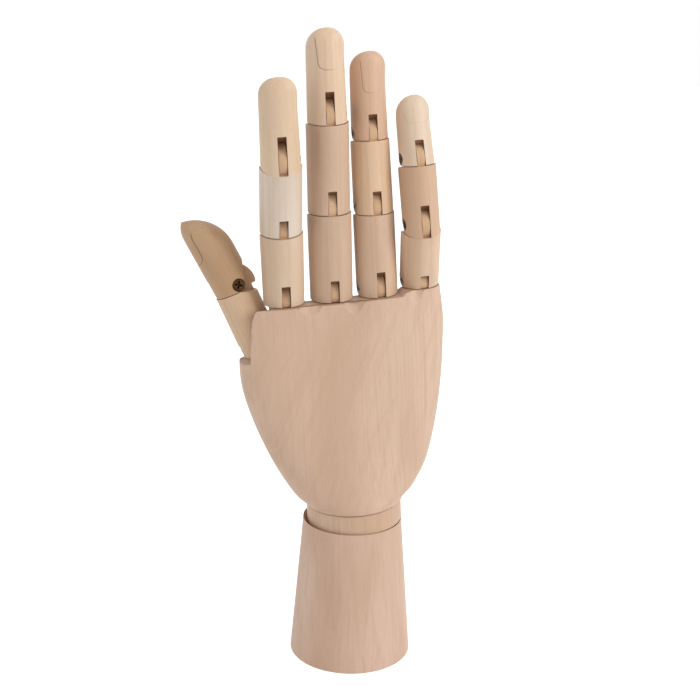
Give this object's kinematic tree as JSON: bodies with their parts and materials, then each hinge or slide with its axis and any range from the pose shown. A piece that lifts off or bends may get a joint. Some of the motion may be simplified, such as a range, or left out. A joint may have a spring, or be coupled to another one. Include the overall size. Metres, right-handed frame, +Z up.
{
  "type": "jointed artist hand",
  "caption": "Jointed wooden hand on a tapered turned cuff: dowel fingers and thumb bend at pinned tongues, and a sprung ball wrist turns and tilts, so that it holds a pose for drawing.",
  "frame": {"origin": "centre of the cuff's flat foot", "axes": "+Z up from the foot towards the fingertips, -Y out of the back of the hand, -X towards the thumb, +Y out of the palm"},
  "size_m": [0.1017, 0.049, 0.2556],
  "materials": {
    "turned_wood": "bare pale wood, sanded smooth, satin",
    "joint_screw": "dark antique bronze plating",
    "spring_steel": "drawn bright steel wire"
  },
  "bodies": {
    "cuff": {"cuff": "turned_wood", "anchor_screw": "spring_steel"},
    "spring": {"wrist_spring": "spring_steel"},
    "ring": {"swivel_ring": "spring_steel"},
    "hand": {"palm": "turned_wood", "wrist_ball": "turned_wood", "screw_eye": "spring_steel", "index_knuckle_tab": "turned_wood", "middle_knuckle_tab": "turned_wood", "ring_knuckle_tab": "turned_wood", "little_knuckle_tab": "turned_wood", "thumb_base_tab": "turned_wood"},
    "index_proximal": {"index_proximal": "turned_wood", "index_proximal_screw": "joint_screw"},
    "index_middle": {"index_middle": "turned_wood", "index_middle_screw": "joint_screw"},
    "index_distal": {"index_distal": "turned_wood", "index_distal_screw": "joint_screw"},
    "middle_proximal": {"middle_proximal": "turned_wood", "middle_proximal_screw": "joint_screw"},
    "middle_middle": {"middle_middle": "turned_wood", "middle_middle_screw": "joint_screw"},
    "middle_distal": {"middle_distal": "turned_wood", "middle_distal_screw": "joint_screw"},
    "ring_proximal": {"ring_proximal": "turned_wood", "ring_proximal_screw": "joint_screw"},
    "ring_middle": {"ring_middle": "turned_wood", "ring_middle_screw": "joint_screw"},
    "ring_distal": {"ring_distal": "turned_wood", "ring_distal_screw": "joint_screw"},
    "little_proximal": {"little_proximal": "turned_wood", "little_proximal_screw": "joint_screw"},
    "little_middle": {"little_middle": "turned_wood", "little_middle_screw": "joint_screw"},
    "little_distal": {"little_distal": "turned_wood", "little_distal_screw": "joint_screw"},
    "thumb_proximal": {"thumb_proximal": "turned_wood", "thumb_proximal_screw": "joint_screw"},
    "thumb_distal": {"thumb_distal": "turned_wood", "thumb_distal_screw": "joint_screw"}
  },
  "joints": [
    {"name": "wrist_twist", "type": "hinge", "parent": "cuff", "child": "spring", "pos_m": [0, 0, 0.07309], "axis": [0, 0, 1], "continuous": true},
    {"name": "wrist_nod", "type": "hinge", "parent": "spring", "child": "ring", "pos_m": [0, 0, 0.07309], "axis": [1, 0, 0], "range_deg": [-20, 20]},
    {"name": "wrist_lean", "type": "hinge", "parent": "ring", "child": "hand", "pos_m": [0, 0, 0.07309], "axis": [0, 1, 0], "range_deg": [-11.5, 18.5]},
    {"name": "index_proximal_bend", "type": "hinge", "parent": "hand", "child": "index_proximal", "pos_m": [-0.02883, 0, 0.15288], "axis": [-0.9962, 0.061, -0.0627], "range_deg": [0, 93.7]},
    {"name": "index_middle_bend", "type": "hinge", "parent": "index_proximal", "child": "index_middle", "pos_m": [-0.03091, -0.00394, 0.18204], "axis": [0.9962, -0.061, 0.0627], "range_deg": [-98.3, 0]},
    {"name": "index_distal_bend", "type": "hinge", "parent": "index_middle", "child": "index_distal", "pos_m": [-0.03324, -0.01395, 0.20948], "axis": [-0.9962, 0.061, -0.0627], "range_deg": [0, 68]},
    {"name": "middle_proximal_bend", "type": "hinge", "parent": "hand", "child": "middle_proximal", "pos_m": [-0.01011, 0, 0.15402], "axis": [-0.9987, 0.0262, -0.0436], "range_deg": [0, 86]},
    {"name": "middle_middle_bend", "type": "hinge", "parent": "middle_proximal", "child": "middle_middle", "pos_m": [-0.0116, 0, 0.18819], "axis": [0.9987, -0.0262, 0.0436], "range_deg": [-88.3, 0]},
    {"name": "middle_distal_bend", "type": "hinge", "parent": "middle_middle", "child": "middle_distal", "pos_m": [-0.01316, -0.0014, 0.22303], "axis": [-0.9987, 0.0262, -0.0436], "range_deg": [0, 80.7]},
    {"name": "ring_proximal_bend", "type": "hinge", "parent": "hand", "child": "ring_proximal", "pos_m": [0.00801, 0, 0.15513], "axis": [-0.9982, 0, -0.0593], "range_deg": [0, 83.8]},
    {"name": "ring_middle_bend", "type": "hinge", "parent": "ring_proximal", "child": "ring_middle", "pos_m": [0.00611, 0.00123, 0.18715], "axis": [0.9982, 0, 0.0593], "range_deg": [-84.4, 0]},
    {"name": "ring_distal_bend", "type": "hinge", "parent": "ring_middle", "child": "ring_distal", "pos_m": [0.00445, 0.0031, 0.21514], "axis": [-0.9982, 0, -0.0593], "range_deg": [0, 88.8]},
    {"name": "little_proximal_bend", "type": "hinge", "parent": "hand", "child": "little_proximal", "pos_m": [0.02496, 0, 0.15767], "axis": [-0.9973, -0.0175, -0.0715], "range_deg": [0, 100]},
    {"name": "little_middle_bend", "type": "hinge", "parent": "little_proximal", "child": "little_middle", "pos_m": [0.02338, -0.00585, 0.1811], "axis": [0.9973, 0.0175, 0.0715], "range_deg": [-65, 0]},
    {"name": "little_distal_bend", "type": "hinge", "parent": "little_middle", "child": "little_distal", "pos_m": [0.02155, -0.00281, 0.20584], "axis": [-0.9973, -0.0175, -0.0715], "range_deg": [0, 81]},
    {"name": "thumb_swing", "type": "hinge", "parent": "hand", "child": "thumb_proximal", "pos_m": [-0.03748, 0.0044, 0.13345], "axis": [0.9171, 0, 0.3987], "range_deg": [-50, 0]},
    {"name": "thumb_distal_bend", "type": "hinge", "parent": "thumb_proximal", "child": "thumb_distal", "pos_m": [-0.04578, 0.00791, 0.15705], "axis": [0.0555, 0.9903, -0.1276], "range_deg": [0, 38]}
  ]
}
